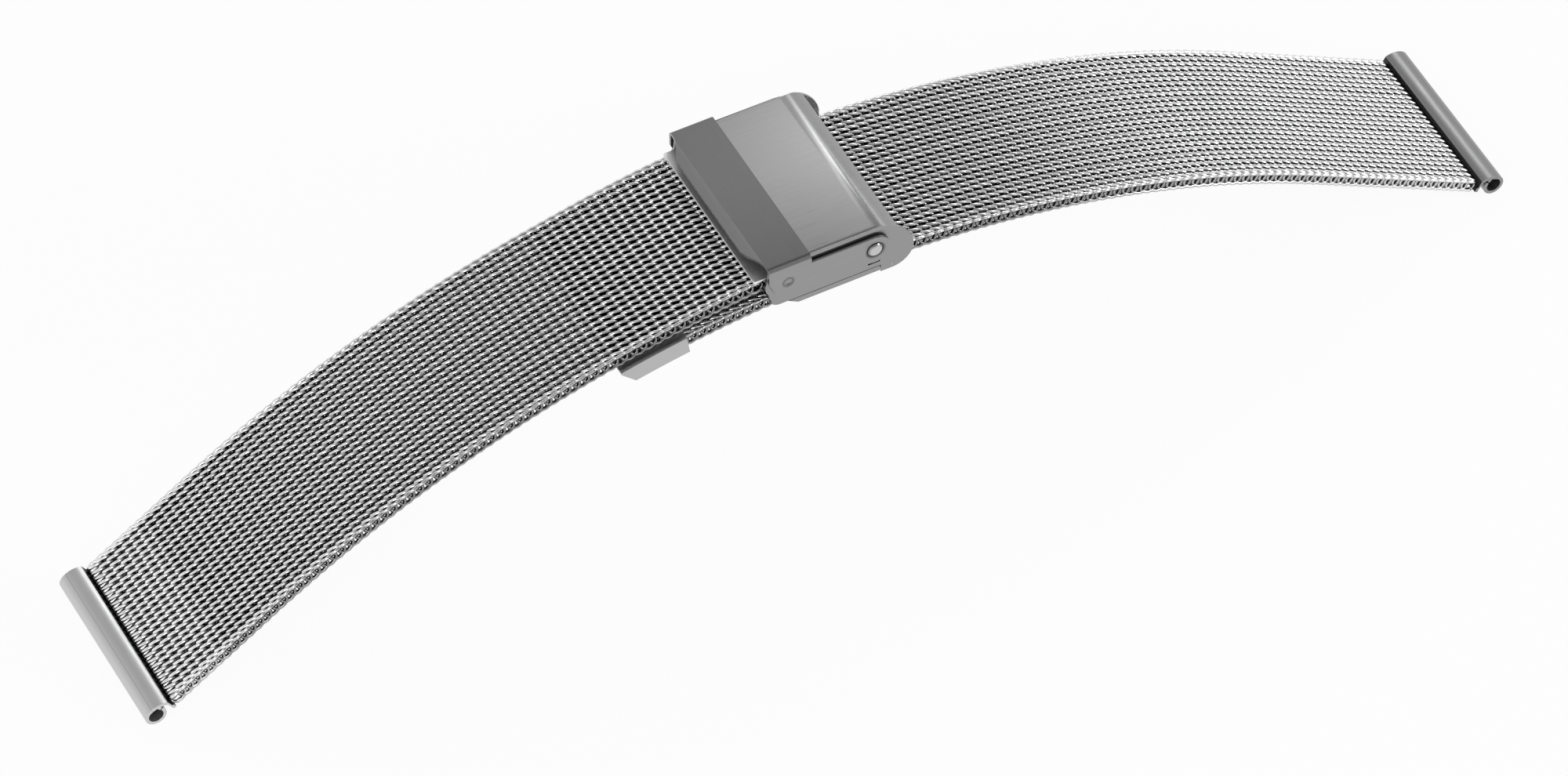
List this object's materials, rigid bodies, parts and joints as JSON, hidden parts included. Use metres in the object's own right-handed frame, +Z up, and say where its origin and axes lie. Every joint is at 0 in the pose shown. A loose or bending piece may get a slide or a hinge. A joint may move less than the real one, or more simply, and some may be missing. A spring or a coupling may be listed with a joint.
{
  "type": "watch strap",
  "caption": "Woven wire mesh watch strap in two bands, joined by a sliding hook clasp with a hinged safety bail, with rolled tube ends for spring bars.",
  "frame": {"origin": "on the surface the strap stands on, under the middle of the arch", "axes": "+X along the strap to the long band's lug tube, +Y across the strap, +Z up"},
  "size_m": [0.1551, 0.022, 0.0322],
  "materials": {
    "mesh_wire": "bright woven wire",
    "lug_sheet": "satin",
    "clip_sheet": "satin",
    "hook_sheet": "polished",
    "housing_sheet": "brushed along the strap on top, satin sides",
    "inner_sheet": "satin",
    "pin_steel": "turned",
    "flap_sheet": "satin",
    "bail_sheet": "brushed across the strap on top, satin arms",
    "rivet_steel": "polished dome"
  },
  "bodies": {
    "long_core": {"long_core": "mesh_wire", "tail_clip": "clip_sheet"},
    "clasp": {"clasp_housing": "housing_sheet", "pressure_plate": "inner_sheet", "crossbar": "pin_steel", "flap_pin": "pin_steel", "bail_rivet_near": "rivet_steel", "bail_rivet_far": "rivet_steel"},
    "lock_flap": {"lock_flap": "flap_sheet"},
    "bail": {"bail": "bail_sheet"},
    "short_1": {"short_mesh_1": "mesh_wire", "hook_plate": "hook_sheet"},
    "short_2": {"short_mesh_2": "mesh_wire"},
    "short_3": {"short_mesh_3": "mesh_wire"},
    "short_4": {"short_mesh_4": "mesh_wire"},
    "short_5": {"short_mesh_5": "mesh_wire", "lug_tube_short": "lug_sheet"},
    "long_1": {"long_mesh_1": "mesh_wire"},
    "long_2": {"long_mesh_2": "mesh_wire"},
    "long_3": {"long_mesh_3": "mesh_wire"},
    "long_4": {"long_mesh_4": "mesh_wire"},
    "long_5": {"long_mesh_5": "mesh_wire", "lug_tube_long": "lug_sheet"}
  },
  "joints": [
    {"name": "clasp_travel", "type": "hinge", "parent": "long_core", "child": "clasp", "pos_m": [0.00053, 0, -0.08357], "axis": [0, -1, 0], "range_deg": [-9, 2.5]},
    {"name": "lock_flap_hinge", "type": "hinge", "parent": "clasp", "child": "lock_flap", "pos_m": [0.00573, 0, 0.0256], "axis": [0, -1, 0], "range_deg": [0, 80]},
    {"name": "bail_hinge", "type": "hinge", "parent": "clasp", "child": "bail", "pos_m": [0.00353, 0, 0.02935], "axis": [0, 1, 0], "range_deg": [0, 150]},
    {"name": "hook_pivot", "type": "hinge", "parent": "clasp", "child": "short_1", "pos_m": [-0.00477, 0, 0.0294], "axis": [0, 1, 0], "range_deg": [0, 5]},
    {"name": "short_flex_1", "type": "hinge", "parent": "short_1", "child": "short_2", "pos_m": [-0.02972, 0, 0.0251], "axis": [0, -1, 0], "range_deg": [-20, 30]},
    {"name": "short_flex_2", "type": "hinge", "parent": "short_2", "child": "short_3", "pos_m": [-0.04131, 0, 0.02118], "axis": [0, -1, 0], "range_deg": [-20, 30]},
    {"name": "short_flex_3", "type": "hinge", "parent": "short_3", "child": "short_4", "pos_m": [-0.05242, 0, 0.01603], "axis": [0, -1, 0], "range_deg": [-20, 30]},
    {"name": "short_flex_4", "type": "hinge", "parent": "short_4", "child": "short_5", "pos_m": [-0.06291, 0, 0.0097], "axis": [0, -1, 0], "range_deg": [-20, 30]},
    {"name": "long_flex_1", "type": "hinge", "parent": "long_core", "child": "long_1", "pos_m": [0.02629, 0, 0.02388], "axis": [0, 1, 0], "range_deg": [-20, 30]},
    {"name": "long_flex_2", "type": "hinge", "parent": "long_1", "child": "long_2", "pos_m": [0.03685, 0, 0.02079], "axis": [0, 1, 0], "range_deg": [-20, 30]},
    {"name": "long_flex_3", "type": "hinge", "parent": "long_2", "child": "long_3", "pos_m": [0.04704, 0, 0.01667], "axis": [0, 1, 0], "range_deg": [-20, 30]},
    {"name": "long_flex_4", "type": "hinge", "parent": "long_3", "child": "long_4", "pos_m": [0.05678, 0, 0.01157], "axis": [0, 1, 0], "range_deg": [-20, 30]},
    {"name": "long_flex_5", "type": "hinge", "parent": "long_4", "child": "long_5", "pos_m": [0.06548, 0, 0.00664], "axis": [0, 1, 0], "range_deg": [-20, 30]}
  ]
}
